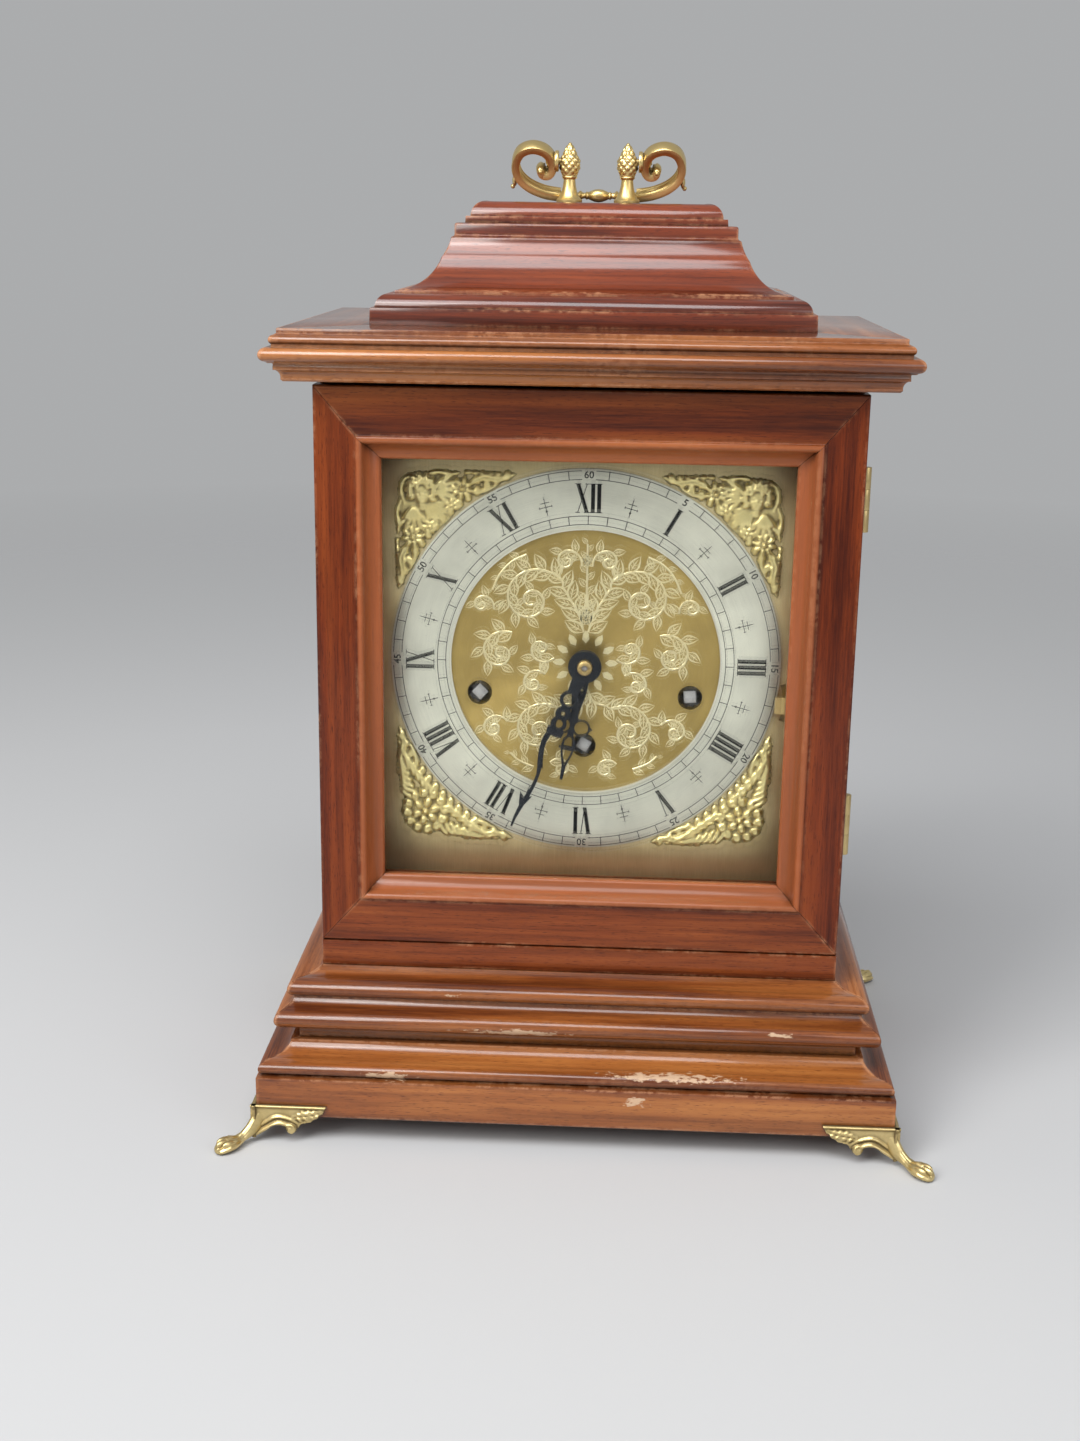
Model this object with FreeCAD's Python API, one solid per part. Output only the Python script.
"""Bracket clock: moulded hardwood case with a bell top, swing handle and cast brass feet,
a hinged glazed front door, a square brass dial and a spring-driven three-train movement.

Millimetres.  +Z is up, the dial faces -Y, +X is the viewer's right.  The origin is on the
floor under the middle of the case.
"""
import FreeCAD
import Part
import os
from math import cos, sin, tau, pi, radians, sqrt, atan2

# ---- driving dimensions: case ----
CASE_HALF = 108.4          # half width of case and door
FRONT = -64.0              # front face of the door
BACK = 88.0                # back of the case
DOOR_THICK = 18.0
CASE_FRONT = FRONT + DOOR_THICK + 0.3      # front edge of the case sides
BOARD = 12.0               # thickness of the case boards
FLOOR_Z = 70.5             # underside of the case bottom board
SILL_Z = 81.6              # top of the case bottom board
HEAD_Z = 315.9             # underside of the cornice
TOP_Z = 336.0              # flat top of the cornice
BLOCK_Z = 11.0             # underside of the plinth
PLINTH_SPLIT = 41.0        # joint between plinth and base moulding

# ---- driving dimensions: caddy top ----
CADDY_Y = 12.0             # middle of the caddy, front to back
CADDY_HALF = 88.5          # half width of its base
CADDY_INSET = 32.5         # half width less half depth
CAP_TOP = 384.1

# ---- driving dimensions: door ----
DOOR_TOP = 314.0
DOOR_BOTTOM = 81.9
FRAME_SIDE = 91.9          # inner edge of the flat frame, half width
FRAME_TOP = 294.6
FRAME_BOTTOM = 100.6
SIGHT = 9.6                # width of the sight moulding
GLASS_Y = -55.0
GLASS_THICK = 2.0
REBATE = 4.0
HINGE_X = 110.5
HINGE_Y = FRONT + DOOR_THICK + 0.15
HINGE_HEIGHTS = (134.0, 271.0)
HINGE_LONG = 26.0
KNUCKLE_R = 2.2
PIN_R = 1.1
LEAF_THICK = 1.0
LEAF_WIDE = 14.0
BACK_DOOR_HALF = CASE_HALF - BOARD - 0.5
BACK_HINGE_X = -CASE_HALF + BOARD + 0.25
BACK_HINGE_Y = BACK + KNUCKLE_R + 0.1
BUTTON_X = CASE_HALF - BOARD / 2
BUTTON_Z = (SILL_Z + HEAD_Z - BOARD) / 2

# ---- driving dimensions: handle ----
POST_X = 12.0
PIVOT_Z = CAP_TOP + 16.5
BAIL_LEAN = 35.0           # degrees off straight down, at rest
BAIL_WIDE = 6.0
BAIL_DROP = 16.5           # pivot to the middle of the grip
GRIP_HALF = 17.4

# ---- driving dimensions: feet ----
FOOT_X = 133.4
FOOT_Y = 89.0
FOOT_PLATE = 2.2
FOOT_TOP = 17.0

# ---- driving dimensions: dial and hands ----
DIAL_Z = 199.5             # height of the hand centre
DIAL_HALF = 90.0
DIAL_TOP = 291.0
DIAL_BOTTOM = 101.0
DIAL_Y = -38.0             # back of the dial plate
DIAL_THICK = 2.0
RING_OUT = 81.0
RING_IN = 56.0
RING_THICK = 1.5
WIND_X = 44.0
WIND_DROP = 14.0
TIME_DROP = 35.9
WIND_HOLE_R = 5.15
SQUARE = 5.0
SQUARE_TURNS = (45.0, 30.0, -5.0)           # as the springs left them: strike, time, chime
HOUR_ANGLE = 10.4          # degrees past six
MINUTE_ANGLE = 23.0
HOUR_LONG = 50.5
MINUTE_LONG = 76.0
HAND_THICK = 0.8
HOUR_HAND_Y = -45.5
MINUTE_HAND_Y = -48.5
LEVER_X = 58.0
LEVER_Z = 184.4
LEVER_R = 26.2
LEVER_SWING = 12.0

# ---- driving dimensions: movement ----
PLATE_HALF = 67.0
PLATE_BOTTOM = 138.0
PLATE_TOP = 243.0
PLATE_THICK = 2.0
FRONT_PLATE_Y = -26.0      # front of the front plate
BACK_PLATE_Y = 25.0        # front of the back plate
BARREL_R = 18.5
GREAT_TEETH = 72
GREAT_MODULE = 0.6
SIDE_TEETH = 60
SIDE_MODULE = 0.7
PINION_TEETH = 12
THIRD_TEETH = 60
THIRD_MODULE = 0.7
TRAIN_STEP = 25.2          # distance between meshing arbors of the trains
CANNON_TEETH = 14
MINUTE_TEETH = 42
MINUTE_MODULE = 0.5
SMALL_TEETH = 10
HOUR_TEETH = 40
HOUR_MODULE = 0.56
MOTION_STEP = 14.0
ARBOR_R = 1.3
CANNON_PIPE = 2.0
HOUR_PIPE = 3.0
PIVOT_R = 0.9
PIVOT_HOLE = 0.96
FRONT_PIVOT = -25.4        # front ends of the train pivots
PILLAR_X = 58.0
PILLAR_ZS = (147.0, 234.0)
ROD_Z = 106.0
ROD_R = 1.5
HAMMER_YS = (37.0, 45.0, 53.0, 61.0)
HAMMER_X = 28.0
HAMMER_Z = 155.0
DRUM_X = 52.0
DRUM_Z = 161.6
BALANCE_Y = 50.0
BALANCE_Z = 214.0

UP = FreeCAD.Vector(0, 0, 1)
ALONG_X = FreeCAD.Vector(1, 0, 0)
ALONG_Y = FreeCAD.Vector(0, 1, 0)
FAR = 500.0                # longer than anything that a cut has to pass through


# ---- shape helpers ----
def vec(x, y, z):
    return FreeCAD.Vector(x, y, z)


def box(x0, x1, y0, y1, z0, z1):
    return Part.makeBox(x1 - x0, y1 - y0, z1 - z0, vec(x0, y0, z0))


def polygon(middle, along, radius, sides, turn=0.0):
    """Corners of equal sides round a point, square to a direction."""
    first = ALONG_X if abs(along.x) < 0.5 else UP
    second = along.cross(first).normalize()
    first = second.cross(along)
    corners = []
    for k in range(sides):
        angle = radians(turn) + tau * k / sides
        corners.append(middle + first * (radius * cos(angle)) + second * (radius * sin(angle)))
    return corners


def flat_face(corners):
    corners = list(corners)
    return Part.Face(Part.makePolygon(corners + corners[:1]))


def rod(base, along, radius, long, sides=0, turn=0.0):
    """A round bar, or one of flat sides where it only has to look round."""
    if not sides:
        return Part.makeCylinder(radius, long, base, along)
    return flat_face(polygon(base, along, radius, sides, turn)).extrude(along * long)


def skin(rings):
    """Closed solid with flat facets through rings of corners."""
    faces = [flat_face(rings[0]), flat_face(rings[-1])]
    count = len(rings[0])
    for low, high in zip(rings, rings[1:]):
        for k in range(count):
            a, b, c, d = low[k], low[(k + 1) % count], high[(k + 1) % count], high[k]
            level = abs((b - a).cross(c - a).dot(d - a)) < 1e-6
            faces += [flat_face(f) for f in (((a, b, c, d),) if level else ((a, b, c), (a, c, d)))]
    solid = Part.Solid(Part.Shell(faces))
    if solid.Volume < 0:
        solid.reverse()
    return solid


def turning(rings, base, along, sides):
    """A turned piece with flat facets; rings are (radius, distance along)."""
    return skin([polygon(base + along * far, along, radius, sides) for radius, far in rings])


def rod_x(y, z, radius, x0, x1, sides=0):
    return rod(vec(x0, y, z), ALONG_X, radius, x1 - x0, sides)


def rod_y(x, z, radius, y0, y1, sides=0, turn=0.0):
    return rod(vec(x, y0, z), ALONG_Y, radius, y1 - y0, sides, turn)


def rod_z(x, y, radius, z0, z1, sides=0):
    return rod(vec(x, y, z0), UP, radius, z1 - z0, sides)


def tube_y(x, z, outer, inner, y0, y1, sides=0):
    return rod_y(x, z, outer, y0, y1, sides).cut(rod_y(x, z, inner, y0 - 1, y1 + 1))


def outline(steps, place):
    """Closed wire.  A step (a, b) is a corner; (a, b, ma, mb) is reached by an arc through (ma, mb)."""
    edges = []
    last = steps[0][:2]
    for step in list(steps[1:]) + [steps[0][:2]]:
        end = step[:2]
        if len(step) == 4:
            edges.append(Part.Arc(place(*last), place(*step[2:]), place(*end)).toShape())
        elif (end[0] - last[0]) ** 2 + (end[1] - last[1]) ** 2 > 1e-9:
            edges.append(Part.LineSegment(place(*last), place(*end)).toShape())
        last = end
    return Part.Wire(edges)


def solid_along(steps, place, travel):
    return Part.Face(outline(steps, place)).extrude(travel)


def flat_xz(steps, y0, y1):
    """A plate whose outline is drawn facing the dial."""
    return solid_along(steps, lambda a, b: vec(a, y0, b), vec(0, y1 - y0, 0))


def mirrored(shape):
    return shape.mirror(vec(0, 0, 0), ALONG_X)


def save(name, shape):
    if isinstance(shape, (list, tuple)):
        shape = Part.makeCompound(list(shape))
    shape.exportStep(os.path.join("parts", name + ".step"))


# ---- mouldings run round the front and sides, mitred at the front corners ----
def front_length(steps, inner, outer):
    """Profile steps are (distance out from the case face, height)."""
    half = CASE_HALF + outer
    run = solid_along(steps, lambda a, b: vec(-half, FRONT - a, b), vec(2 * half, 0, 0))
    corners = [(-half, FRONT - outer), (half, FRONT - outer)]
    corners += [(CASE_HALF - inner, FRONT + inner), (inner - CASE_HALF, FRONT + inner)]
    return run.common(solid_along(corners, lambda a, b: vec(a, b, 0), vec(0, 0, FAR)))


def side_length(steps, inner, outer):
    run = solid_along(steps, lambda a, b: vec(CASE_HALF + a, FRONT - outer, b),
                      vec(0, BACK - FRONT + outer, 0))
    corners = [(CASE_HALF + outer, FRONT - outer), (CASE_HALF + outer, BACK)]
    corners += [(CASE_HALF - inner, BACK), (CASE_HALF - inner, FRONT + inner)]
    return run.common(solid_along(corners, lambda a, b: vec(a, b, 0), vec(0, 0, FAR)))


def moulding(name, steps, inner, outer):
    save(name + "_front", front_length(steps, inner, outer))
    right = side_length(steps, inner, outer)
    save(name + "_right", right)
    save(name + "_left", mirrored(right))


def plinth():
    steps = [(-BOARD, BLOCK_Z), (24.2, BLOCK_Z), (25.0, BLOCK_Z + 0.8), (25.0, 28.5)]
    steps += [(22.4, 29.4), (22.4, 34.6, 24.2, 32.0), (20.2, 35.4)]
    steps += [(12.2, 40.2, 15.0, 36.6), (12.2, PLINTH_SPLIT), (-BOARD, PLINTH_SPLIT)]
    moulding("plinth", steps, BOARD, 26.0)


def base_moulding():
    steps = [(-BOARD, PLINTH_SPLIT), (9.1, PLINTH_SPLIT), (9.1, 44.0)]
    steps += [(14.6, 47.6, 10.4, 47.0), (15.4, 47.8), (15.4, 55.4, 18.2, 51.6), (13.4, 56.8)]
    steps += [(10.6, 60.4, 11.4, 58.4), (10.6, 67.2, 13.2, 63.8), (9.2, 67.9)]
    steps += [(0.0, FLOOR_Z, 3.4, 68.4), (-BOARD, FLOOR_Z)]
    moulding("base_moulding", steps, BOARD, 20.0)


def cornice():
    inner = 30.0
    steps = [(-inner, HEAD_Z), (9.6, HEAD_Z), (10.4, 316.7), (12.2, 320.4, 10.8, 319.2)]
    steps += [(12.8, 320.4), (12.8, 321.9), (14.4, 323.0, 13.0, 323.0)]
    steps += [(15.1, 323.6), (15.1, 329.0, 17.6, 326.3), (13.2, 329.0), (13.2, 330.2)]
    steps += [(12.4, 333.6, 14.1, 331.9), (11.4, 334.2), (11.4, TOP_Z), (-inner, TOP_Z)]
    moulding("cornice", steps, inner, 20.0)


def back_rails():
    half = CASE_HALF - BOARD
    lower = box(-half, half, BACK - BOARD, BACK, BLOCK_Z, FLOOR_Z)
    wide = CASE_HALF - 30.0
    upper = box(-wide, wide, BACK - 28.0, BACK, HEAD_Z, TOP_Z)
    save("back_rails", [lower, upper])


def carcase():
    inner = CASE_HALF - BOARD
    save("carcase_bottom", box(-CASE_HALF, CASE_HALF, FRONT, BACK, FLOOR_Z, SILL_Z))
    side = box(inner, CASE_HALF, CASE_FRONT, BACK, SILL_Z, HEAD_Z)
    left = mirrored(side)
    for z in HINGE_HEIGHTS:
        side = side.cut(box(CASE_HALF - LEAF_WIDE, CASE_HALF + 1, CASE_FRONT - 1,
                            CASE_FRONT + LEAF_THICK, z - HINGE_LONG / 2, z + HINGE_LONG / 2))
        left = left.cut(box(-inner - 1.2, -inner + 1, BACK - LEAF_WIDE, BACK + 1,
                            z - HINGE_LONG / 2, z + HINGE_LONG / 2))
    side = side.cut(rod_y(BUTTON_X, BUTTON_Z, 1.56, BACK - 11, BACK + 1))
    save("carcase_right_side", side)
    save("carcase_left_side", left)
    save("carcase_top", box(-inner, inner, CASE_FRONT, BACK, HEAD_Z - BOARD, HEAD_Z))


def bell(steps):
    """A block with the same moulded edge on all four sides; steps are (half width, height)."""
    low = steps[0][1]
    wide = max(step[0] for step in steps)
    deep = wide - CADDY_INSET
    rising = list(steps) + [(0.0, steps[-1][1]), (0.0, low)]
    across = solid_along(rising, lambda a, b: vec(a, CADDY_Y - deep, b), vec(0, 2 * deep, 0))
    across = across.fuse(mirrored(across)).removeSplitter()
    along = solid_along(rising, lambda a, b: vec(-wide, CADDY_Y - max(a - CADDY_INSET, 0.0), b),
                        vec(2 * wide, 0, 0))
    along = along.fuse(along.mirror(vec(0, CADDY_Y, 0), ALONG_Y)).removeSplitter()
    return across.common(along)


def caddy():
    foot = [(CADDY_HALF, TOP_Z), (88.3, 342.6), (86.6, 342.6), (80.0, 347.9, 85.0, 346.6), (79.4, 347.9)]
    foot += [(79.4, 349.1)]
    save("caddy_base", bell(foot))
    cove = [(79.0, 349.1), (62.4, 362.0, 68.2, 353.6), (58.9, 369.8, 60.0, 366.2), (57.6, 370.4)]
    cove += [(57.6, 374.9), (57.0, 375.5)]
    save("caddy_cove", bell(cove))
    cap = [(53.6, 375.5), (53.4, 378.2), (51.6, 378.2), (43.9, CAP_TOP, 49.6, 382.8)]
    save("caddy_cap", bell(cap))


# ---- handle ----
def post(x):
    """Pineapple post: flange, waisted neck, swelling fruit and tip, with the pivot pin outside."""
    rings = [(5.4, 0.0), (5.4, 1.4), (4.4, 2.2), (3.1, 4.8), (2.5, 9.4), (3.6, 11.0), (4.3, 12.6)]
    rings += [(3.9, 13.9), (4.4, 15.4), (3.9, 16.9), (4.0, 18.4), (3.1, 20.4), (1.7, 22.6), (0.5, 24.0)]
    fruit = turning(rings, vec(x, CADDY_Y, CAP_TOP), UP, 12)
    reach = 1.0 if x > 0 else -1.0
    inside, outside = sorted((x + 3.0 * reach, x + 9.6 * reach))
    return fruit.fuse(rod_x(CADDY_Y, PIVOT_Z, 1.4, inside, outside))


def strap(spine, widths, depth):
    """A flat scroll along a smooth spine, with a half width at each of its points, depth thick."""
    curve = Part.BSplineCurve()
    curve.interpolate([vec(x, 0, z) for x, z in spine])
    knots = [curve.parameter(vec(x, 0, z)) for x, z in spine]
    sides = ([], [])
    parts = 2
    for k in range(parts * (len(spine) - 1) + 1):
        low = min(k // parts, len(spine) - 2)
        share = k / parts - low
        knot = knots[low] + (knots[low + 1] - knots[low]) * share
        width = widths[low] + (widths[low + 1] - widths[low]) * share
        normal = curve.tangent(knot)[0].cross(ALONG_Y)
        sides[0].append(curve.value(knot) + normal * width)
        sides[1].append(curve.value(knot) - normal * width)
    face = flat_face(sides[0] + sides[1][::-1])
    face.translate(vec(0, -depth / 2, 0))
    return face.extrude(vec(0, depth, 0))


def bail_arm():
    """One scrolled arm, drawn hanging straight down from a pivot at the origin, with its collar."""
    spine = [(24.3, -3.2), (23.4, -5.6), (20.9, -5.9), (19.2, -3.4), (19.3, 0.8), (22.2, 5.0), (27.4, 6.6)]
    spine += [(32.4, 4.4), (34.6, -1.2), (33.6, -7.0), (29.4, -11.8), (23.0, -15.0)]
    spine.append((GRIP_HALF - 1.2, -16.4))
    widths = [1.7, 1.1, 1.2, 1.4, 1.6, 1.8, 1.8, 1.8, 1.7, 1.6, 1.4, 1.1, 0.9]
    arm = strap(spine, widths, BAIL_WIDE)
    collar = [(4.2, POST_X + 4.8), (4.2, POST_X + 6.4), (2.8, POST_X + 6.8), (2.6, POST_X + 9.2)]
    arm = arm.fuse(turning(collar, vec(0, 0, 0), ALONG_X, 12))
    tip = rod(vec(33.7, -BAIL_WIDE / 2, -10.6), ALONG_Y, 1.6, BAIL_WIDE, 8)
    return arm.fuse(tip).cut(rod_x(0, 0, 1.46, POST_X + 3, POST_X + 10.0))


def handle():
    save("handle_posts", [post(-POST_X), post(POST_X)])
    half = [(2.6, 0.0), (1.9, 3.2), (1.4, 4.3), (1.1, 5.6), (2.0, 7.6), (1.1, 9.0), (1.1, 14.0)]
    half.append((1.7, GRIP_HALF))
    rings = [(radius, -far) for radius, far in half[:0:-1]] + half
    grip = turning(rings, vec(0, 0, -BAIL_DROP), ALONG_X, 10)
    arm = bail_arm()
    bail = arm.fuse(grip).fuse(mirrored(arm)).removeSplitter()
    bail.rotate(vec(0, 0, 0), ALONG_X, BAIL_LEAN)
    bail.translate(vec(0, CADDY_Y, PIVOT_Z))
    save("handle_bail", bail)


# ---- feet ----
def foot():
    """Right rear foot: two leafy plates round the plinth corner and a leg out to a paw."""
    steps = [(-FOOT_PLATE, FOOT_TOP), (30.0, FOOT_TOP), (28.4, 13.6), (26.4, 11.4), (23.2, 9.3), (19.6, 8.6)]
    steps += [(17.4, 6.2), (16.6, 4.6), (15.1, 3.9), (13.6, 4.6), (12.8, 6.2), (10.9, 7.7)]
    steps += [(8.6, 8.4), (6.3, 7.3), (4.0, 5.0), (0.0, 2.6), (-FOOT_PLATE, 2.2)]
    front = solid_along(steps, lambda a, b: vec(FOOT_X - a, FOOT_Y, b), vec(0, FOOT_PLATE, 0))
    side = solid_along(steps, lambda a, b: vec(FOOT_X, FOOT_Y - a, b), vec(FOOT_PLATE, 0, 0))
    casting = front.fuse(side).fuse(paw_leg()).removeSplitter()
    return casting.common(box(FOOT_X - 40, FOOT_X + 30, FOOT_Y - 40, FOOT_Y + 30, 0, 40))


def paw_leg():
    """The leg and paw, lofted out on the diagonal from the corner."""
    # distance out, height of the middle, half width, half height
    stations = [(0.4, 8.0, 1.9, 5.6), (4.6, 5.2, 2.2, 3.0), (9.4, 3.2, 2.5, 2.3)]
    stations += [(14.0, 2.6, 3.9, 2.9), (18.0, 2.0, 3.8, 2.5), (20.6, 1.5, 2.0, 1.4)]
    sides = 10
    rings = []
    for out, height, half, tall in stations:
        corners = []
        for k in range(sides):
            angle = tau * k / sides
            reach = out / sqrt(2)
            wide = half * cos(angle) / sqrt(2)
            corners.append(vec(FOOT_X + reach + wide, FOOT_Y + reach - wide, height + tall * sin(angle)))
        rings.append(corners)
    return skin(rings)


def feet():
    rear_right = foot()
    rear_left = mirrored(rear_right)
    front_right = rear_right.mirror(vec(0, 0, 0), ALONG_Y)
    front_left = mirrored(front_right)
    plinth_corner = box(-FOOT_X, FOOT_X, -FOOT_Y, FOOT_Y, BLOCK_Z, 40)
    save("bracket_feet", [f.cut(plinth_corner) for f in (rear_right, rear_left, front_right, front_left)])


# ---- front door ----
def door_profile():
    """(distance in from the sight edge, depth behind the door front)."""
    wide = CASE_HALF - FRAME_SIDE + SIGHT
    steps = [(wide, DOOR_THICK), (wide, 0.6), (wide - 0.6, 0.0), (SIGHT + 0.2, 0.0)]
    steps += [(SIGHT, -0.2), (SIGHT - 3.0, -0.2, SIGHT - 1.5, -1.3), (SIGHT - 3.4, 0.8)]
    steps += [(0.8, 5.2, 4.2, 3.9), (0.0, 6.0), (0.0, 9.0), (REBATE, 9.0), (REBATE, DOOR_THICK)]
    return steps


def door():
    sight_x = FRAME_SIDE - SIGHT
    sight_top = FRAME_TOP - SIGHT
    sight_bottom = FRAME_BOTTOM + SIGHT
    steps = door_profile()
    widest = CASE_HALF - sight_x

    def stretched(edge):
        """The same profile with its flat widened or narrowed to reach the door's own edge."""
        return [(s[0] + edge - widest,) + tuple(s[1:]) if s[0] > widest - 1 else s for s in steps]

    def cut_to(run, corners):
        return run.common(flat_xz(corners, FRONT - 5, FRONT + DOOR_THICK + 5))

    long = DOOR_TOP - DOOR_BOTTOM
    stile = solid_along(steps, lambda a, b: vec(sight_x + a, FRONT + b, DOOR_BOTTOM), vec(0, 0, long))
    corners = [(CASE_HALF, DOOR_BOTTOM), (CASE_HALF, DOOR_TOP), (FRAME_SIDE, FRAME_TOP)]
    corners += [(sight_x, sight_top), (sight_x, sight_bottom), (FRAME_SIDE, FRAME_BOTTOM)]
    stile = cut_to(stile, corners)
    left = mirrored(stile)
    for z in HINGE_HEIGHTS:
        stile = stile.cut(box(CASE_HALF - LEAF_WIDE, CASE_HALF + 1, FRONT + DOOR_THICK - LEAF_THICK,
                              FRONT + DOOR_THICK + 1, z - HINGE_LONG / 2, z + HINGE_LONG / 2))
    save("door_stile_right", stile)
    save("door_stile_left", left)

    top = solid_along(stretched(DOOR_TOP - sight_top),
                      lambda a, b: vec(-CASE_HALF, FRONT + b, sight_top + a), vec(2 * CASE_HALF, 0, 0))
    corners = [(-CASE_HALF, DOOR_TOP), (CASE_HALF, DOOR_TOP), (FRAME_SIDE, FRAME_TOP)]
    corners += [(sight_x, sight_top), (-sight_x, sight_top), (-FRAME_SIDE, FRAME_TOP)]
    save("door_rail_top", cut_to(top, corners))

    bottom = solid_along(stretched(sight_bottom - DOOR_BOTTOM),
                         lambda a, b: vec(-CASE_HALF, FRONT + b, sight_bottom - a),
                         vec(2 * CASE_HALF, 0, 0))
    corners = [(-CASE_HALF, DOOR_BOTTOM), (CASE_HALF, DOOR_BOTTOM), (FRAME_SIDE, FRAME_BOTTOM)]
    corners += [(sight_x, sight_bottom), (-sight_x, sight_bottom), (-FRAME_SIDE, FRAME_BOTTOM)]
    save("door_rail_bottom", cut_to(bottom, corners))

    edge = REBATE - 0.2
    glass_back = GLASS_Y + GLASS_THICK
    save("door_glass", box(-sight_x - edge, sight_x + edge, GLASS_Y, glass_back,
                           sight_bottom - edge, sight_top + edge))
    glazing_beads(sight_x, sight_top, sight_bottom, glass_back)


def glazing_beads(sight_x, sight_top, sight_bottom, glass_back):
    """Quarter-round beads that hold the glass in its rebate."""
    out = REBATE - 0.05
    deep = FRONT + DOOR_THICK - 1.5
    steps = [(out, glass_back), (0.4, glass_back), (0.4, glass_back + 1.2)]
    steps.append((out, deep, 2.8, glass_back + 3.2))
    high = sight_top + out
    low = sight_bottom - out
    upright = solid_along(steps, lambda a, b: vec(sight_x + a, b, low), vec(0, 0, high - low))
    run = vec(2 * sight_x + 0.8, 0, 0)
    across = solid_along(steps, lambda a, b: vec(-sight_x - 0.4, b, sight_top + a), run)
    below = solid_along(steps, lambda a, b: vec(-sight_x - 0.4, b, sight_bottom - a),
                        vec(2 * sight_x + 0.8, 0, 0))
    save("glazing_beads", [upright, mirrored(upright), across, below])


# ---- hinges ----
def knuckles(x, y, z, low, high):
    return rod_z(x, y, KNUCKLE_R, z + low, z + high, 12)


def hinges():
    """Butt hinges: the case leaf has the end knuckles and the pin, the door leaf the middle one."""
    third = HINGE_LONG / 6
    half = HINGE_LONG / 2
    door_leaves = []
    case_leaves = []
    rear_leaves = []
    for z in HINGE_HEIGHTS:
        inner = CASE_HALF - LEAF_WIDE + 0.2
        door_y = FRONT + DOOR_THICK - LEAF_THICK
        door_leaf = box(inner, HINGE_X, door_y, FRONT + DOOR_THICK, z - half + 0.1, z + half - 0.1)
        case_leaf = box(inner, HINGE_X, CASE_FRONT, CASE_FRONT + LEAF_THICK, z - half + 0.1, z + half - 0.1)
        gaps = [(-half - 1, -third + 0.1), (third - 0.1, half + 1)]
        barrel = rod_z(HINGE_X, HINGE_Y, KNUCKLE_R + 0.25, z - half - 1, z + half + 1)
        middle = knuckles(HINGE_X, HINGE_Y, z, -third + 0.15, third - 0.15)
        door_leaves.append(door_leaf.cut(barrel).fuse(middle)
                           .cut(rod_z(HINGE_X, HINGE_Y, PIN_R + 0.06, z - half, z + half)))
        web = box(HINGE_X - KNUCKLE_R - 0.4, HINGE_X, door_y, FRONT + DOOR_THICK,
                  z - third + 0.15, z + third - 0.15)
        door_leaves[-1] = door_leaves[-1].fuse(
            web.cut(rod_z(HINGE_X, HINGE_Y, PIN_R + 0.06, z - half, z + half)))
        case = case_leaf.cut(barrel)
        for low, high in gaps:
            case = case.fuse(knuckles(HINGE_X, HINGE_Y, z, max(low, -half), min(high, half)))
            case = case.fuse(box(HINGE_X - KNUCKLE_R - 0.4, HINGE_X, CASE_FRONT, CASE_FRONT + LEAF_THICK,
                                 z + max(low, -half), z + min(high, half)))
        case_leaves.append(case.fuse(rod_z(HINGE_X, HINGE_Y, PIN_R, z - half, z + half)))
        rear_leaves += back_hinge(z, case_leaves)
    save("door_hinge_leaves", door_leaves)
    save("back_door_hinge_leaves", rear_leaves)
    save("case_hinge_leaves", case_leaves)


def back_hinge(z, case_leaves):
    """Edge-to-edge butt hinge at the left edge of the back door; returns the door leaf."""
    third = HINGE_LONG / 6
    half = HINGE_LONG / 2
    axis_x = BACK_HINGE_X
    axis_y = BACK_HINGE_Y
    pin_hole = rod_z(axis_x, axis_y, PIN_R + 0.06, z - half - 1, z + half + 1)
    barrel = rod_z(axis_x, axis_y, KNUCKLE_R + 0.25, z - half - 1, z + half + 1)
    inner = -CASE_HALF + BOARD
    inward = BACK - LEAF_WIDE + 0.2
    case = box(inner - 1.0, inner, inward, axis_y, z - half + 0.1, z + half - 0.1).cut(barrel)
    for low, high in ((-half, -third - 0.1), (third + 0.1, half)):
        case = case.fuse(knuckles(axis_x, axis_y, z, low, high))
        case = case.fuse(box(inner - 1.0, inner, BACK - 1, axis_y, z + low, z + high))
    case_leaves.append(case.fuse(rod_z(axis_x, axis_y, PIN_R, z - half, z + half)))
    edge = BACK_DOOR_HALF
    leaf = box(-edge, -edge + 1.0, inward, axis_y, z - half + 0.1, z + half - 0.1).cut(barrel)
    leaf = leaf.fuse(knuckles(axis_x, axis_y, z, -third + 0.15, third - 0.15))
    leaf = leaf.fuse(box(-edge, -edge + 1.0, BACK - 1, axis_y, z - third + 0.15, z + third - 0.15))
    return [leaf.cut(pin_hole)]


def back_door():
    """Plain panel let in between the case sides."""
    low = SILL_Z + 0.5
    high = HEAD_Z - BOARD - 0.5
    panel = box(-BACK_DOOR_HALF, BACK_DOOR_HALF, BACK - 10, BACK, low, high)
    for z in HINGE_HEIGHTS:
        panel = panel.cut(box(-BACK_DOOR_HALF - 1, -BACK_DOOR_HALF + 1.2, BACK - LEAF_WIDE, BACK + 1,
                              z - HINGE_LONG / 2, z + HINGE_LONG / 2))
    save("back_door", panel)


def turn_button():
    """Turned knob with a tongue, on the right case side; it stands upright when the door is free."""
    rings = [(4.6, 0.3), (4.6, 1.4), (2.0, 2.2), (1.8, 5.0), (3.4, 6.2), (3.5, 7.6), (2.4, 9.2), (0.8, 9.6)]
    turned = turning(rings, vec(BUTTON_X, BACK, BUTTON_Z), ALONG_Y, 14)
    turned = turned.fuse(rod_y(BUTTON_X, BUTTON_Z, 1.5, BACK - 10.0, BACK + 1.0))
    tongue = box(BUTTON_X - 4, BUTTON_X + 4, BACK + 0.3, BACK + 1.5, BUTTON_Z, BUTTON_Z + 16.0)
    tongue = tongue.fuse(rod_y(BUTTON_X, BUTTON_Z + 16.0, 4.0, BACK + 0.3, BACK + 1.5, 12))
    save("back_door_button", turned.fuse(tongue).removeSplitter())


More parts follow.
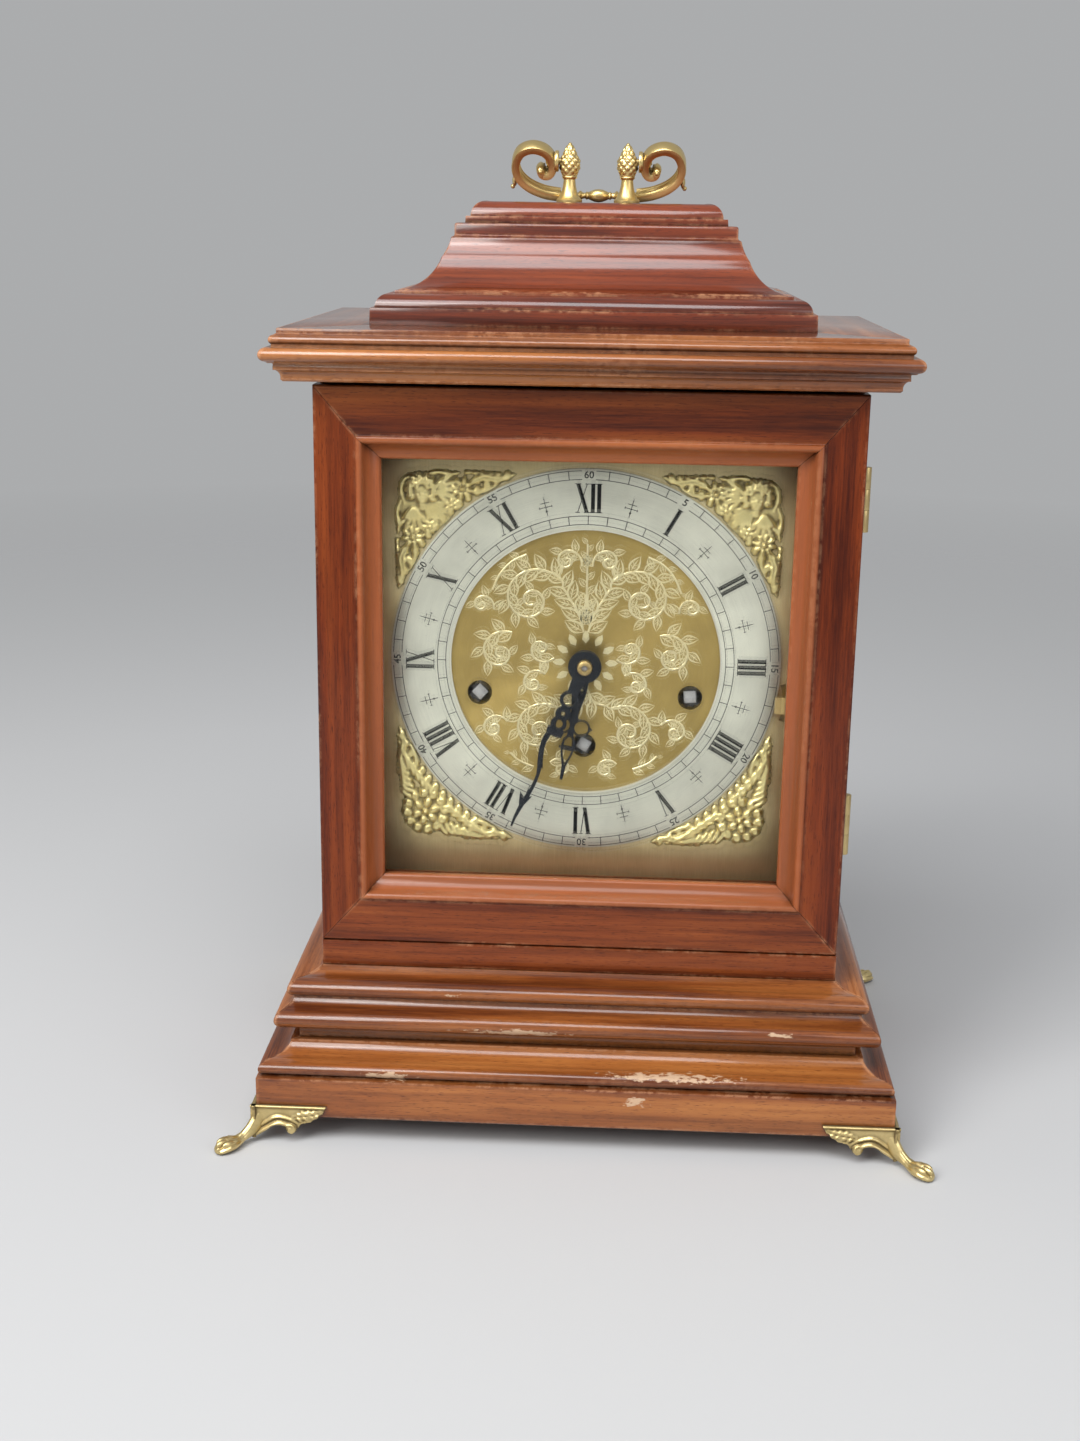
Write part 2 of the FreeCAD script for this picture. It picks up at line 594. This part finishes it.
# ---- dial ----
def dial():
    plate = box(-DIAL_HALF, DIAL_HALF, DIAL_Y - DIAL_THICK, DIAL_Y, DIAL_BOTTOM, DIAL_TOP)
    for x, z in winding_places():
        plate = plate.cut(rod_y(x, z, WIND_HOLE_R, DIAL_Y - 5, DIAL_Y + 5))
    plate = plate.cut(rod_y(0, DIAL_Z, 4.0, DIAL_Y - 5, DIAL_Y + 5))
    slot = [(-LEVER_SWING - 6, LEVER_R - 1.6), (LEVER_SWING + 6, LEVER_R + 1.6)]
    plate = plate.cut(ring_slice(LEVER_X, LEVER_Z, slot[0], slot[1], DIAL_Y - 5, DIAL_Y + 5))
    save("dial_plate", plate)
    face = DIAL_Y - DIAL_THICK
    ring = tube_y(0, DIAL_Z, RING_OUT, RING_IN, face - RING_THICK, face)
    save("chapter_ring", ring)
    save("spandrels", spandrels(face))


def ring_slice(x, z, low, high, y0, y1):
    """Part of a ring round (x, z): angles low[0]..high[0] in degrees, radii low[1]..high[1]."""
    def at(angle, radius):
        return (x + radius * cos(radians(angle)), z + radius * sin(radians(angle)))
    middle = (low[0] + high[0]) / 2
    steps = [at(low[0], low[1]), at(low[0], high[1]), at(high[0], high[1]) + at(middle, high[1])]
    steps += [at(high[0], low[1]), at(low[0], low[1]) + at(middle, low[1])]
    return flat_xz(steps, y0, y1)


def leaf(x, z, angle, long, half, y0, y1):
    """A pointed leaf from (x, z) in the direction of angle."""
    ca, sa = cos(radians(angle)), sin(radians(angle))
    shape = [(0, 0), (0.2, 0.75), (0.48, 1.0), (0.75, 0.7), (1, 0), (0.75, -0.7), (0.48, -1.0), (0.2, -0.75)]
    steps = []
    for far, wide in shape:
        a, b = far * long, wide * half
        steps.append((x + a * ca - b * sa, z + a * sa + b * ca))
    return flat_xz(steps, y0, y1)


def spandrels(face):
    """Four corner mounts: winged heads above, flower and leaf clusters below."""
    pieces = []
    for side in (1, -1):
        cx, cz = 68.0, DIAL_Z + side * 65.5
        body = rod_y(cx, cz, 8.4, face - 2.4, face, 12)
        for tilt, long, half in ((135, 39, 6.4), (150, 24, 5.0), (118, 18, 4.0)):
            for way in (tilt, -tilt):
                body = body.fuse(leaf(cx, cz, side * (45 + way), long, half, face - 1.4, face))
        body = body.fuse(leaf(cx - 3, cz - 3 * side, side * 45, 21, 6.0, face - 1.8, face))
        head = [(1.4, -5.6), (4.2, -4.4), (5.6, -2.4), (5.9, 0.0)]
        flower = [(1.2, -3.8), (3.4, -3.2), (4.0, 0.0)]
        boss = turning(head if side > 0 else flower, vec(cx, face, cz), ALONG_Y, 10)
        body = body.fuse(boss).cut(rod_y(0, DIAL_Z, RING_OUT + 0.6, face - 10, face + 5))
        body = body.common(box(0, 82, face - 10, face + 5, DIAL_BOTTOM + 1, DIAL_TOP - 1))
        solids = [s for s in body.removeSplitter().Solids if s.Volume > 5.0]
        pieces += solids
        pieces += [mirrored(s) for s in solids]
    return pieces


def winding_places():
    return [(-WIND_X, DIAL_Z - WIND_DROP), (0.0, DIAL_Z - TIME_DROP), (WIND_X, DIAL_Z - WIND_DROP)]


# ---- hands, drawn pointing up from the hand centre, then turned to their place ----


def turned_hand(shape, degrees_past_six):
    shape.rotate(vec(0, 0, 0), ALONG_Y, 180 + degrees_past_six)
    shape.translate(vec(0, 0, DIAL_Z))
    return shape


def plate_of(shapes, y0):
    """Flat shapes of a hand, drawn pointing up, fused into one thin plate."""
    whole = None
    for steps in shapes:
        piece = flat_xz(steps, y0, y0 + HAND_THICK)
        whole = piece if whole is None else whole.fuse(piece)
    return whole


def both_sides(steps):
    """A right-hand outline, from the bottom up, closed by its mirror image."""
    return steps + [(-x, z) for x, z in steps[::-1]]


def disc(x, z, radius, sides=18):
    return [(x + radius * cos(tau * k / sides), z + radius * sin(tau * k / sides)) for k in range(sides)]


def hour_hand():
    """Neck, a pair of open rings, and a pierced head with a cross bar."""
    shapes = [disc(0, 0, 6.6, 28)]
    shapes.append(both_sides([(3.1, 4), (3.0, 12.5), (1.7, 20), (1.3, 31.5)]))
    shapes.append(both_sides([(0.9, 30.2), (2.6, 32.6), (3.0, 36.0), (2.2, 40.0), (0.9, 44.2),
                              (0.6, HOUR_LONG)]))
    shapes.append(both_sides([(3.8, 36.0), (3.8, 36.9)]))
    for side in (-1, 1):
        shapes.append(disc(side * 3.9, 26.8, 3.8))
        shapes.append([(side * 7.3, 25.6), (side * 8.7, 26.7), (side * 7.3, 27.8)])
        shapes.append([(0, 21.5), (side * 2.6, 23.4), (side * 1.2, 25.0), (0, 24.0)])
    hand = plate_of(shapes, HOUR_HAND_Y)
    holes = [disc(side * 3.9, 26.8, 2.9) for side in (-1, 1)]
    holes += [disc(side, 10.6, 0.6, 10) for side in (-1, 1)]
    holes.append(both_sides([(0.5, 31.6), (1.75, 33.4), (2.0, 35.4)]))
    holes.append(both_sides([(2.0, 37.4), (1.2, 40.2), (0.2, 42.8)]))
    for hole in holes:
        hand = hand.cut(flat_xz(hole, HOUR_HAND_Y - 1, HOUR_HAND_Y + 2))
    return hand.cut(rod_y(0, 0, HOUR_PIPE - 0.6, HOUR_HAND_Y - 1, HOUR_HAND_Y + 2)).removeSplitter()


def minute_hand():
    """Neck, a chain of pierced rings, and a serpentine arm with barbs."""
    shapes = [disc(0, 0, 6.9, 28)]
    shapes.append(both_sides([(3.0, 4), (2.2, 12.2)]))
    shapes.append(both_sides([(2.0, 17.8), (1.8, 31.0)]))
    shapes.append(both_sides([(1.8, 28.0), (3.7, 29.0), (3.4, 31.8), (1.6, 32.4)]))
    shapes += [disc(0, 15.3, 4.1), disc(0, 21.8, 3.3, 14), disc(0, 26.6, 3.4)]
    shapes.append([(-0.2, 43.4), (-2.1, 47.4), (-0.6, 46.6), (0.4, 46.0)])
    shapes.append(both_sides([(0.5, 61.9), (2.7, 60.3), (1.5, 64.2), (0.2, 67.5)]))
    hand = plate_of(shapes, MINUTE_HAND_Y)
    spine = [(2.1, 32.4), (2.2, 38.6), (0.4, 44.6), (-1.1, 50.6), (-1.2, 56.8), (-0.6, 62.4), (0.0, 68.0),
             (0.0, MINUTE_LONG)]
    arm = strap(spine, [1.2, 1.05, 1.15, 0.7, 0.75, 0.95, 0.8, 0.4], HAND_THICK)
    arm.translate(vec(0, MINUTE_HAND_Y + HAND_THICK / 2, 0))
    hand = hand.fuse(arm)
    holes = [disc(0, 15.3, 2.6), disc(0, 21.9, 0.9, 10), disc(0, 26.6, 1.8, 14)]
    for hole in holes:
        hand = hand.cut(flat_xz(hole, MINUTE_HAND_Y - 1, MINUTE_HAND_Y + 2))
    return hand.cut(rod_y(0, 0, ARBOR_R, MINUTE_HAND_Y - 1, MINUTE_HAND_Y + 2)).removeSplitter()


def hands():
    save("hour_hand", turned_hand(hour_hand(), HOUR_ANGLE))
    save("minute_hand", turned_hand(minute_hand(), MINUTE_ANGLE))
    rings = [(3.2, 0.0), (3.2, -1.5), (2.9, -2.1), (1.8, -2.5)]
    nut = turning(rings[::-1], vec(0, MINUTE_HAND_Y, DIAL_Z), ALONG_Y, 16)
    slot = box(-4, 4, MINUTE_HAND_Y - 3, MINUTE_HAND_Y - 2.0, DIAL_Z - 0.4, DIAL_Z + 0.4)
    save("hand_nut", nut.cut(slot).cut(rod_y(0, DIAL_Z, ARBOR_R, -60, -40)))


# ---- toothed wheels, all turning about the front-to-back direction ----
def wheel(x, z, teeth, module, y0, y1, phase, bore=0.0, spokes=0):
    """Wheel of straight-flanked teeth.  Phase is the angle of one tooth, in radians."""
    pitch = tau / teeth
    pitch_r = teeth * module / 2
    tip = pitch_r + 0.85 * module
    root = pitch_r - 1.1 * module
    flanks = ((root, -0.31), (tip, -0.09), (tip, 0.09), (root, 0.31))
    if teeth > 30:
        flanks = ((root, -0.4), (tip, 0.0), (root, 0.4))
    corners = []
    for k in range(teeth):
        for radius, turn in flanks:
            angle = phase + (k + turn) * pitch
            corners.append((x + radius * cos(angle), z + radius * sin(angle)))
    blank = flat_xz(corners, y0, y1)
    inner = max(bore + 3.0, pitch_r * 0.26)
    for k in range(spokes):
        opening = (360.0 * k / spokes + 9, 360.0 * (k + 1) / spokes - 9)
        blank = blank.cut(window(x, z, opening, inner, root - 2.2, y0 - 1, y1 + 1))
    if bore:
        blank = blank.cut(rod_y(x, z, bore, y0 - 1, y1 + 1))
    return blank


def window(x, z, opening, inner, outer, y0, y1):
    """The gap between two spokes, with straight-sided edges."""
    low, high = (radians(a) for a in opening)
    angles = [low + (high - low) * k / 4 for k in range(5)]
    steps = [(x + outer * cos(a), z + outer * sin(a)) for a in angles]
    steps += [(x + inner * cos(a), z + inner * sin(a)) for a in (high, low)]
    return flat_xz(steps, y0, y1)


def meshed_phase(phase, teeth, other_teeth, here, there):
    """Phase of the wheel at 'there' that puts it in mesh with the wheel at 'here'."""
    line = atan2(there[1] - here[1], there[0] - here[0])
    return line + pi + pi / other_teeth - (teeth / other_teeth) * (phase - line)


def motion_places():
    centre = (0.0, DIAL_Z)
    low = DIAL_Z - TIME_DROP
    rise = TIME_DROP / 2
    third = (sqrt(TRAIN_STEP ** 2 - rise ** 2), low + rise)
    minute = (-MOTION_STEP * cos(pi / 4), DIAL_Z - MOTION_STEP * sin(pi / 4))
    return centre, third, minute


def motion_work():
    """Centre arbor with its cannon pinion, the minute wheel beside it and the hour wheel on its pipe."""
    centre, third, minute = motion_places()
    pipe = tube_y(0, DIAL_Z, CANNON_PIPE, ARBOR_R, -47.7, -27.0)
    cannon = wheel(0, DIAL_Z, CANNON_TEETH, MINUTE_MODULE, -29.6, -27.6, 0.0, ARBOR_R)
    arbor = rod_y(0, DIAL_Z, ARBOR_R, -50.4, 20.0).fuse(rod_y(0, DIAL_Z, PIVOT_R, 19.0, BACK_PLATE_Y + 1.8))
    pinion_phase = meshed_phase(0.0, THIRD_TEETH, PINION_TEETH, third, centre)
    pinion = wheel(0, DIAL_Z, PINION_TEETH, THIRD_MODULE, 11.0, 18.0, pinion_phase)
    save("centre_arbor", arbor.fuse(pinion).fuse(pipe).fuse(cannon))

    minute_phase = meshed_phase(0.0, CANNON_TEETH, MINUTE_TEETH, centre, minute)
    small = wheel(minute[0], minute[1], SMALL_TEETH, HOUR_MODULE, -33.6, -29.4, 0.0, 0.86)
    large = wheel(minute[0], minute[1], MINUTE_TEETH, MINUTE_MODULE, -29.4, -28.0, minute_phase, 0.86, 4)
    save("minute_wheel", large.fuse(small))

    hour_phase = meshed_phase(0.0, SMALL_TEETH, HOUR_TEETH, minute, centre)
    hour = wheel(0, DIAL_Z, HOUR_TEETH, HOUR_MODULE, -33.4, -31.8, hour_phase, CANNON_PIPE + 0.07, 4)
    hour = hour.fuse(tube_y(0, DIAL_Z, HOUR_PIPE, CANNON_PIPE + 0.07, -44.7, -31.0, 14))
    hour = hour.fuse(tube_y(0, DIAL_Z, HOUR_PIPE - 0.6, CANNON_PIPE + 0.07, -46.2, -44.7, 14))
    save("hour_wheel", hour)

    pinion_line = meshed_phase(0.0, GREAT_TEETH, PINION_TEETH, (0.0, DIAL_Z - TIME_DROP), third)
    driven = wheel(third[0], third[1], PINION_TEETH, GREAT_MODULE, 4.5, 13.0, pinion_line)
    large = wheel(third[0], third[1], THIRD_TEETH, THIRD_MODULE, 13.6, 15.4, 0.0, 1.3, 4)
    shaft = rod_y(third[0], third[1], 1.4, -22.0, 22.0, 12)
    shaft = shaft.fuse(rod_y(third[0], third[1], PIVOT_R, FRONT_PIVOT, BACK_PLATE_Y + 1.4))
    save("intermediate_wheel", shaft.fuse(driven).fuse(large))


# ---- going barrels and their winding arbors ----
def barrels():
    names = ("strike", "time", "chime")
    for name, turn, (x, z) in zip(names, SQUARE_TURNS, winding_places()):
        if name == "time":
            rim = wheel(x, z, GREAT_TEETH, GREAT_MODULE, 5.6, 8.0, 0.0)
        else:
            rim = wheel(x, z, SIDE_TEETH, SIDE_MODULE, -19.4, -17.0, 0.0)
        hollow = rod_y(x, z, BARREL_R - 1.4, -17.0, 5.6, 24)
        barrel = rod_y(x, z, BARREL_R, -19.4, 8.0, 32).fuse(rod_y(x, z, 5.0, -20.6, 9.2, 12)).fuse(rim)
        save(name + "_barrel", barrel.cut(hollow).cut(rod_y(x, z, 3.06, -30, 30)))
        save(name + "_winding_arbor", winding_arbor(x, z, turn))


def winding_arbor(x, z, turn):
    """Arbor with its spring core, ratchet wheel and the square that the key fits."""
    arbor = rod_y(x, z, 3.0, -22.0, 11.0)
    arbor = arbor.fuse(rod_y(x, z, 2.95, -31.0, -21.0, 16))
    arbor = arbor.fuse(rod_y(x, z, 1.9, 10.0, BACK_PLATE_Y + 2.6))
    arbor = arbor.fuse(rod_y(x, z, 5.4, -16.6, 5.2, 14))
    arbor = arbor.fuse(rod_y(x, z, SQUARE / sqrt(2), -38.5, -30.0, 4, 45.0 + turn))
    return arbor.fuse(ratchet(x, z, -29.0, -27.2))


def ratchet(x, z, y0, y1):
    teeth = 15
    corners = []
    for k in range(teeth):
        for radius, turn in ((7.4, 0.0), (6.2, 0.12)):
            angle = tau * (k + turn) / teeth
            corners.append((x + radius * cos(angle), z + radius * sin(angle)))
    return flat_xz(corners, y0, y1)


# ---- plates, pillars and what the plates carry ----
def plates():
    front = box(-PLATE_HALF, PLATE_HALF, FRONT_PLATE_Y, FRONT_PLATE_Y + PLATE_THICK, PLATE_BOTTOM, PLATE_TOP)
    back = box(-PLATE_HALF, PLATE_HALF, BACK_PLATE_Y, BACK_PLATE_Y + PLATE_THICK, PLATE_BOTTOM, PLATE_TOP)
    centre, third, minute = motion_places()
    for x, z in winding_places():
        front = front.cut(rod_y(x, z, 3.0, -30, -20))
        back = back.cut(rod_y(x, z, 1.96, 20, 30))
    front = front.cut(rod_y(centre[0], centre[1], CANNON_PIPE - 0.4, -30, -20))
    back = back.cut(rod_y(centre[0], centre[1], PIVOT_HOLE, 20, 30))
    for place in (third, (DRUM_X, DRUM_Z)):
        front = front.cut(rod_y(place[0], place[1], PIVOT_HOLE, -30, -20))
    back = back.cut(rod_y(third[0], third[1], PIVOT_HOLE, 20, 30))
    back = back.cut(rod_y(DRUM_X, DRUM_Z, 2.06, 20, 30))
    stud = rod_y(minute[0], minute[1], 0.8, -34.4, FRONT_PLATE_Y)
    lever_stud = rod_y(LEVER_X, LEVER_Z, 1.5, -36.4, FRONT_PLATE_Y)
    save("front_plate", front.fuse(stud).fuse(lever_stud))
    save("back_plate", back)
    pillars()


def pillars():
    """Plate pillars, the posts that carry the dial, and the nuts behind the back plate."""
    made = []
    rear = BACK_PLATE_Y + PLATE_THICK
    for x in (-PILLAR_X, PILLAR_X):
        for z in PILLAR_ZS:
            made.append(rod_y(x, z, 3.8, FRONT_PLATE_Y + PLATE_THICK, BACK_PLATE_Y, 10))
            made.append(rod_y(x, z, 2.6, DIAL_Y, FRONT_PLATE_Y, 10))
            made.append(rod_y(x, z, 3.6, rear, rear + 2.6, 6))
    save("movement_pillars", made)


def chime_lever():
    """Flat lever behind the dial with its tab brought forward through a slot."""
    y0 = -36.0
    y1 = -34.8
    arm = flat_xz([(LEVER_X - 4, LEVER_Z - 3), (LEVER_X + LEVER_R - 3, LEVER_Z - 2),
                   (LEVER_X + LEVER_R + 1.2, LEVER_Z - 2), (LEVER_X + LEVER_R + 1.2, LEVER_Z + 2),
                   (LEVER_X + LEVER_R - 3, LEVER_Z + 2), (LEVER_X - 4, LEVER_Z + 3)], y0, y1)
    arm = arm.fuse(rod_y(LEVER_X, LEVER_Z, 4.6, y0, y1, 16)).cut(rod_y(LEVER_X, LEVER_Z, 1.56, -40, -30))
    edge = LEVER_X + LEVER_R
    neck = box(edge - 1.0, edge + 1.0, -44.6, y1, LEVER_Z - 2, LEVER_Z + 2)
    tab = box(edge - 2.6, edge + 1.0, -45.4, -44.4, LEVER_Z - 3.5, LEVER_Z + 3.5)
    save("chime_lever", arm.fuse(neck).fuse(tab))


# ---- chime: pin drum, hammers, rods ----
def chime_drum():
    back = BACK_PLATE_Y + PLATE_THICK
    phase = meshed_phase(0.0, SIDE_TEETH, PINION_TEETH, (WIND_X, DIAL_Z - WIND_DROP), (DRUM_X, DRUM_Z))
    shaft = rod_y(DRUM_X, DRUM_Z, PIVOT_R, FRONT_PIVOT, -21.0)
    shaft = shaft.fuse(rod_y(DRUM_X, DRUM_Z, 2.0, -22.0, 64.0, 14))
    shaft = shaft.fuse(rod_y(DRUM_X, DRUM_Z, PIVOT_R, 63.0, 68.6))
    shaft = shaft.fuse(wheel(DRUM_X, DRUM_Z, PINION_TEETH, SIDE_MODULE, -20.4, -16.0, phase))
    shaft = shaft.fuse(rod_y(DRUM_X, DRUM_Z, 6.0, back + 5.0, 63.0, 16))
    for number, y in enumerate(HAMMER_YS):
        for k in range(5):
            angle = tau * (k + number / 4.0) / 5 + 0.9
            shaft = shaft.fuse(rod(vec(DRUM_X, y, DRUM_Z), vec(cos(angle), 0, sin(angle)), 0.6, 8.4, 4))
    save("chime_drum", shaft)


def hammers():
    """Each hammer hangs over its rod on the common arbor, with a tail towards the drum pins."""
    head_x = HAMMER_X - 25.0
    head_z = ROD_Z + ROD_R + 8.2
    heading = vec(head_x - HAMMER_X, 0, head_z + 3 - HAMMER_Z)
    run = heading.Length
    heading = heading.normalize()
    for number, y in enumerate(HAMMER_YS):
        boss = rod_y(HAMMER_X, HAMMER_Z, 3.2, y - 2.6, y + 2.6, 12)
        wire = rod(vec(HAMMER_X, y, HAMMER_Z), heading, 0.9, run, 6)
        head = turning([(2.0, -6.4), (2.6, -4.0), (3.0, -3.9), (3.0, 6.0)], vec(head_x, y, head_z), UP, 10)
        tail = box(HAMMER_X, DRUM_X - 6.8, y - 0.8, y + 0.8, HAMMER_Z - 1.0, HAMMER_Z + 1.0)
        hammer = boss.fuse(wire).fuse(head).fuse(tail)
        save("hammer_%d" % (number + 1), hammer.cut(rod_y(HAMMER_X, HAMMER_Z, 1.56, 0, 90)))


def chime_rods():
    """Four rods of falling length in a cast block that stands on the case bottom."""
    block_x = HAMMER_X - 60.0
    low, high = HAMMER_YS[0] - 7, HAMMER_YS[-1] + 7
    steps = [(-6, SILL_Z), (24, SILL_Z), (24, SILL_Z + 8), (18, SILL_Z + 10), (18, ROD_Z + 6)]
    steps += [(16, ROD_Z + 8), (2, ROD_Z + 8), (0, ROD_Z + 6), (0, SILL_Z + 10), (-6, SILL_Z + 8)]
    block = solid_along(steps, lambda a, b: vec(block_x + a, low, b), vec(0, high - low, 0))
    rods = []
    for number, y in enumerate(HAMMER_YS):
        block = block.cut(rod_x(y, ROD_Z, ROD_R, block_x - 1, block_x + 30, 8))
        rods.append(rod_x(y, ROD_Z, ROD_R, block_x + 1, block_x + 112 - number * 7, 8))
    save("chime_rods", [block] + rods)


# ---- floating balance, and the cocks that carry the rear pivots ----
def balance():
    ring = rod_z(0, BALANCE_Y, 13.0, BALANCE_Z, BALANCE_Z + 2.4, 28)
    ring = ring.cut(rod_z(0, BALANCE_Y, 11.2, BALANCE_Z - 1, BALANCE_Z + 3, 28))
    bar = box(-12, 12, BALANCE_Y - 1.2, BALANCE_Y + 1.2, BALANCE_Z + 0.2, BALANCE_Z + 2.2)
    staff = rod_z(0, BALANCE_Y, 1.6, BALANCE_Z - 9, BALANCE_Z + 9, 10)
    staff = staff.fuse(rod_z(0, BALANCE_Y, 0.7, BALANCE_Z - 13, BALANCE_Z + 13))
    save("balance_wheel", ring.fuse(bar).fuse(staff))


def cocks():
    """Rear bracket for the drum and hammer arbors, and the balance frame, on the back plate."""
    back = BACK_PLATE_Y + PLATE_THICK
    bracket = box(HAMMER_X - 6, DRUM_X + 6, 66.0, 68.0, HAMMER_Z - 7, DRUM_Z + 6)
    bracket = bracket.cut(rod_y(DRUM_X, DRUM_Z, PIVOT_HOLE, 60, 70))
    bracket = bracket.fuse(rod_y(HAMMER_X, HAMMER_Z, 1.5, back, 68.0))
    bracket = bracket.fuse(rod_y(HAMMER_X + 12, DRUM_Z + 12, 2.4, back, 68.0, 8))
    bracket = bracket.fuse(box(HAMMER_X + 8, HAMMER_X + 16, 66.0, 68.0, DRUM_Z + 5, DRUM_Z + 16))
    frame = box(-8, 8, back, BALANCE_Y + 4, BALANCE_Z + 12.4, BALANCE_Z + 15.4)
    frame = frame.fuse(box(-8, 8, back, BALANCE_Y + 4, BALANCE_Z - 15.4, BALANCE_Z - 12.4))
    frame = frame.fuse(box(-8, 8, back, back + 3.0, BALANCE_Z - 15.4, BALANCE_Z + 15.4))
    frame = frame.cut(rod_z(0, BALANCE_Y, 0.76, BALANCE_Z - 14.2, BALANCE_Z + 14.2))
    save("movement_cocks", [bracket, frame])


# ---- woodwork inside the case that carries dial and movement ----
def seat_board():
    inner = CASE_HALF - BOARD
    board = box(-inner, inner, FRONT_PLATE_Y, BACK_PLATE_Y + PLATE_THICK, PLATE_BOTTOM - BOARD, PLATE_BOTTOM)
    pieces = [board]
    for side in (-1, 1):
        x0, x1 = sorted((side * inner, side * (inner - 12)))
        low = PLATE_BOTTOM - BOARD
        pieces.append(box(x0, x1, FRONT_PLATE_Y, 60.0, low - 12, low))
        x0, x1 = sorted((side * inner, side * (DIAL_HALF - 2)))
        pieces.append(box(x0, x1, DIAL_Y, DIAL_Y + 8, SILL_Z, DIAL_TOP))
    save("seat_board", pieces)


def main():
    os.makedirs("parts", exist_ok=True)
    plinth()
    base_moulding()
    cornice()
    back_rails()
    carcase()
    caddy()
    handle()
    feet()
    door()
    hinges()
    back_door()
    turn_button()
    dial()
    hands()
    motion_work()
    barrels()
    plates()
    chime_lever()
    chime_drum()
    hammers()
    chime_rods()
    balance()
    cocks()
    seat_board()


main()
